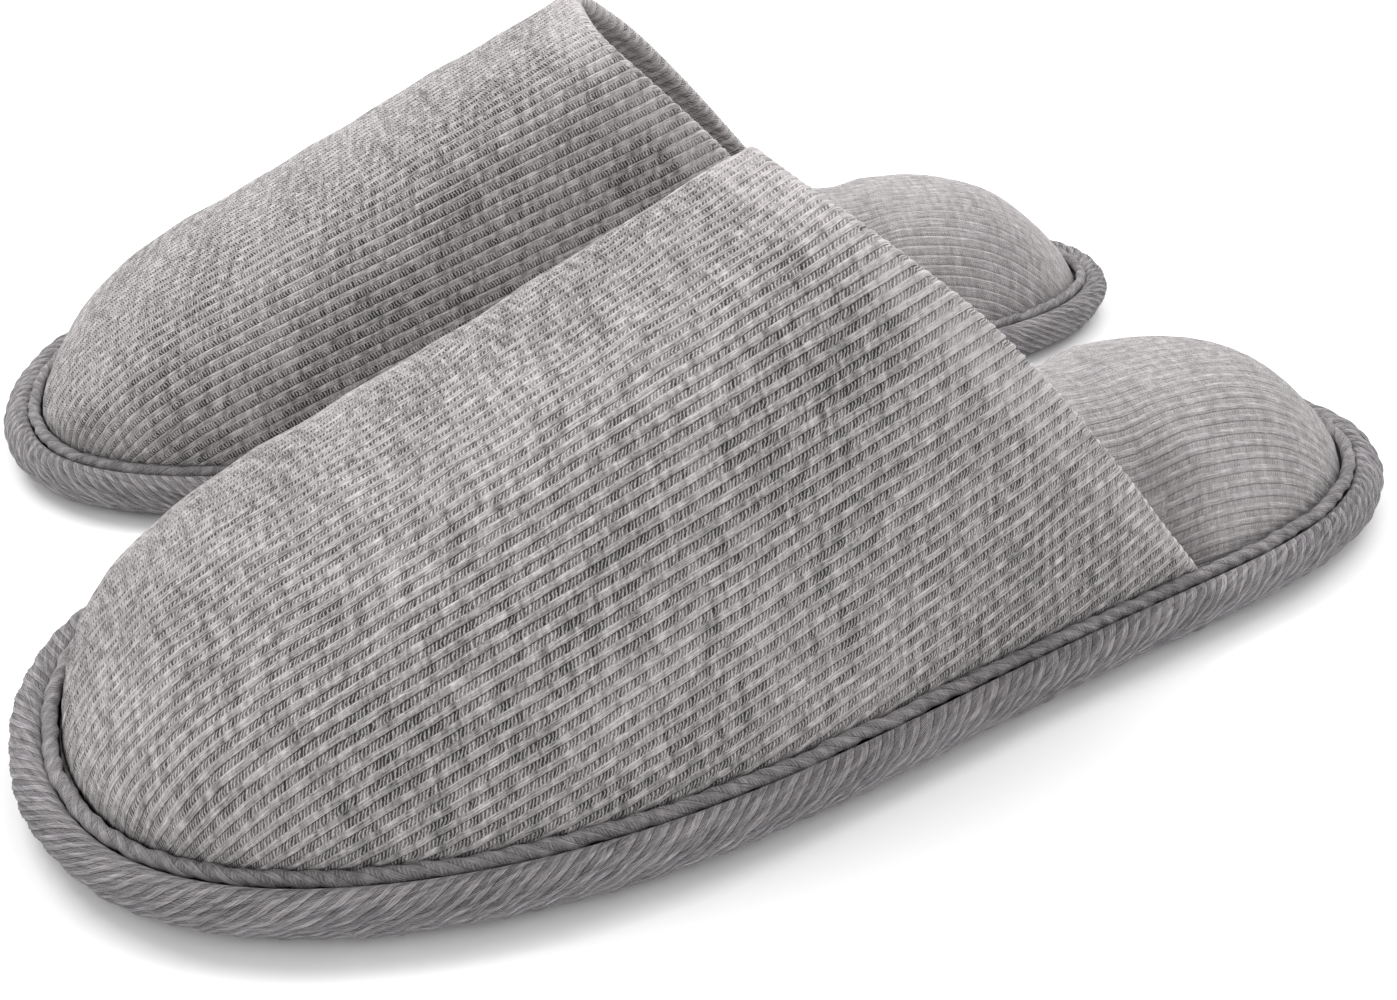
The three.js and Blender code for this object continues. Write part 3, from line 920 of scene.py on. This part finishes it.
def knit_material(name, dark, light, stitch, topline_highlight=0.0):
    """Rib knit of heathered yarn: bright smooth ribs, bands of small slanted loops, flecks along them."""
    n = KnitNodes(name)
    loops = yarn_loops(n)
    fibre = n.range(n.streaks(0.3, 3.6, 3.0, 0.6), 0.36, 0.66)
    fleck = yarn_flecks(n)
    fuzz = n.streaks(2.4, 3.6, roughness=0.7)
    bands = smooth_band(n, fibre), loop_band(n, loops, stitch)
    # The light line at each smooth band's edge is a painted highlight.
    shade = n.total(heather(n, fleck, fuzz), *bands, crest_painted_highlight(n, fleck, stitch))
    # The dark line in each groove is painted shade.
    shade = n.math("SUBTRACT", shade, groove_painted_shade(n))
    # Painted highlight on the topline's rolled edge.
    if topline_highlight:
        shade = n.math("ADD", shade, n.scaled(n.hem, topline_highlight))
    shade = n.range(shade, 0.12, 1.08, smooth=False)
    n.link(n.blend_colour(shade, dark, light), n.shader.inputs["Base Color"])
    knit_surface(n, loops, fibre, fuzz)
    return n.material


def plain_material(name, dark, light, grain, roughness, relief):
    """Foam, board, wadding or rubber: two close colours mixed by a grain, and a little relief."""
    n = Nodes(name)
    position = n.object_position()
    coarse = n.noise(position, grain * 0.2, 3.0)
    fine = n.noise(position, grain, 4.0, 0.65)
    shade = n.total(n.scaled(coarse, 0.5), n.scaled(fine, 0.5))
    n.link(n.blend_colour(n.range(shade, 0.35, 0.65), dark, light), n.shader.inputs["Base Color"])
    dull = n.range(fine, 0.2, 0.8, roughness - 0.08, min(roughness + 0.05, 1.0))
    n.link(dull, n.shader.inputs["Roughness"])
    n.bump(fine, relief)
    n.shader.inputs["Specular IOR Level"].default_value = 0.3
    return n.material


def grey(level, red=0.0, blue=0.0):
    """A grey of the given brightness, tinted by small shares of red and blue."""
    return (level * (1 + red), level, level * (1 + blue), 1.0)


def knit_materials():
    """The knits by slot, each from its darkest and lightest yarn."""
    return {
        # The upper's knit gets a painted highlight along its rolled topline.
        "upper_knit": knit_material(
            "upper_rib_knit", grey(0.03, 0.06), grey(0.645, 0.06), stitch=1.0, topline_highlight=0.35),
        "footbed_knit": knit_material(
            "footbed_rib_knit", grey(0.22, 0.06, 0.01), grey(0.57, 0.06, 0.01), stitch=0.4),
        "binding_knit": knit_material(
            "binding_rib_knit", grey(0.035, 0.06, 0.04), grey(0.45, 0.06, 0.04), stitch=0.85),
        "piping_knit": knit_material(
            "piping_rib_knit", grey(0.10, 0.06, 0.02), grey(0.42, 0.06, 0.02), stitch=0.6),
    }


def plain_materials():
    """The other materials by slot, with a grain in spots per metre and a relief in metres."""
    return {
        "lining_cloth": plain_material(
            "lining_cloth", grey(0.22, 0.05), grey(0.32, 0.05), grain=2600, roughness=0.92, relief=0.00008),
        "wadding": plain_material(
            "wadding", grey(0.7), grey(0.85), grain=900, roughness=0.95, relief=0.0003),
        "foam": plain_material(
            "foam", grey(0.6, 0.05, -0.03), grey(0.72, 0.05, -0.03),
            grain=3000, roughness=0.95, relief=0.0002),
        "board_fibre": plain_material(
            "board_fibre", grey(0.3, 0.2, -0.12), grey(0.42, 0.2, -0.12),
            grain=900, roughness=0.9, relief=0.0001),
        "sole_rubber": plain_material(
            "sole_rubber", grey(0.085), grey(0.12), grain=4000, roughness=0.75, relief=0.00006),
    }


# ---- assembly ----
BEND_HEIGHT = 1.5


def finish_piece(piece, side, material, slot, nodes, blended):
    """Give a piece its material and hide the CAD nodes that it replaces. A piece that isn't blended rides
    on the forepart; a blended one only has its placement baked in.
    """
    piece.data.materials.append(material)
    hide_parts(*[f"{side}_{node}" for node in nodes])
    if blended:
        start, end = (Vector(place(side, np.array([s, 0.0, BEND_HEIGHT]))) for s in BEND_ZONE)
        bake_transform(piece)
        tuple(start)
        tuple(end)
    else:
        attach(piece, f"{side}_forepart")


def make_sole(side, materials):
    """The sole's pieces, each of which replaces a front node and a heel node."""
    soft = [
        (footbed_cover, "footbed_cover", "footbed_knit"),
        (foam_pad, "foam_pad", "foam"),
        (edge_binding, "edge_binding", "binding_knit"),
        (welt_piping, "welt_piping", "piping_knit"),
    ]
    for build, name, slot in soft:
        piece = build(side)
        finish_piece(piece, side, materials[slot], slot, (f"{name}_front", f"{name}_heel"), True)
    plates = [
        ("insole_board", BOARD_SECTION, "board_fibre", False),
        ("outsole", SOLE_SECTION, "sole_rubber", True),
    ]
    for name, section, slot, studs in plates:
        piece = plate(name, side, section, studs)
        finish_piece(piece, side, materials[slot], slot, (f"{name}_front", f"{name}_heel"), True)


def make_upper(side, materials):
    """The vamp's three layers, which ride on the forepart."""
    shell = upper_shell(side)
    finish_piece(shell, side, materials["upper_knit"], "upper_knit", ("upper_shell",), False)
    padding = upper_padding(side)
    finish_piece(padding, side, materials["wadding"], "wadding", ("upper_padding",), False)
    lining = upper_lining(side)
    finish_piece(lining, side, materials["lining_cloth"], "lining_cloth", ("upper_lining",), False)


# ---- camera, floor and light ----
CAMERA_AT = (-103.6, -209.7, 173.2)  # from the left slipper's middle on the floor, in millimetres
CAMERA_YAW = 0.396
CAMERA_PITCH = -0.566
CAMERA_ROLL = -0.028
CAMERA_LENS = 39.6

LIGHT_TARGET = (0.0, 0.0, 0.03)
SKY_STRENGTH = 0.88


def make_camera():
    """The camera is measured from the left slipper's own middle, as the photograph shows it."""
    data = bpy.data.cameras.new("camera")
    data.lens = CAMERA_LENS
    data.sensor_width = 36.0
    data.clip_start = 0.01
    data.clip_end = 20.0
    camera = bpy.data.objects.new("camera", data)
    bpy.context.scene.collection.objects.link(camera)
    forward = Vector((math.sin(CAMERA_YAW) * math.cos(CAMERA_PITCH),
                      math.cos(CAMERA_YAW) * math.cos(CAMERA_PITCH), math.sin(CAMERA_PITCH)))
    right = Vector((math.cos(CAMERA_YAW), -math.sin(CAMERA_YAW), 0.0))
    up = right.cross(forward)
    across = right * math.cos(CAMERA_ROLL) + up * math.sin(CAMERA_ROLL)
    upward = -right * math.sin(CAMERA_ROLL) + up * math.cos(CAMERA_ROLL)
    joint = JOINTS["left_sole_flex"]["pos_m"]
    middle = Vector((joint[0] - (LENGTH / 2 - FLEX_DISTANCE) * MM, joint[1], 0.0))
    rotation = Matrix((across, upward, -forward)).transposed().to_4x4()
    place_at = Matrix.Translation(middle + Vector(CAMERA_AT) * MM)
    camera.matrix_world = place_at @ rotation
    bpy.context.scene.camera = camera


def make_floor():
    """A wide white floor, a hair under the soles."""
    bpy.ops.mesh.primitive_plane_add(size=6.0, location=(0, 0, -0.0002))
    floor = bpy.context.object
    floor.name = "floor"
    n = Nodes("floor")
    soft = n.noise(n.object_position(), 3.0, 2.0)
    white = n.blend_colour(soft, (0.93, 0.93, 0.935, 1), (0.95, 0.95, 0.955, 1))
    n.link(white, n.shader.inputs["Base Color"])
    n.shader.inputs["Roughness"].default_value = 0.9
    n.shader.inputs["Specular IOR Level"].default_value = 0.1
    floor.data.materials.append(n.material)


def area_light(name, location, size, energy):
    """A square white light that faces the slippers."""
    data = bpy.data.lights.new(name, "AREA")
    data.shape = "SQUARE"
    data.size = size
    data.energy = energy
    light = bpy.data.objects.new(name, data)
    bpy.context.scene.collection.objects.link(light)
    light.location = location
    light.rotation_mode = "QUATERNION"
    light.rotation_quaternion = (Vector(LIGHT_TARGET) - Vector(location)).to_track_quat("-Z", "Y")


def make_light():
    """A white sky, a key light from behind on the left and a wide fill from behind on the right."""
    world = bpy.data.worlds.new("studio")
    world.use_nodes = True
    background = world.node_tree.nodes["Background"]
    background.inputs["Color"].default_value = (1.0, 1.0, 1.0, 1.0)
    background.inputs["Strength"].default_value = SKY_STRENGTH
    bpy.context.scene.world = world
    area_light("key", (-0.3, 0.55, 0.9), size=0.5, energy=6.0)
    area_light("fill", (0.75, 0.35, 1.05), size=0.9, energy=9.3)
    bpy.context.scene.view_settings.view_transform = "Standard"


make_camera()
MATERIALS = {**knit_materials(), **plain_materials()}
for slipper_side in SIDES:
    make_sole(slipper_side, MATERIALS)
    make_upper(slipper_side, MATERIALS)
make_floor()
make_light()
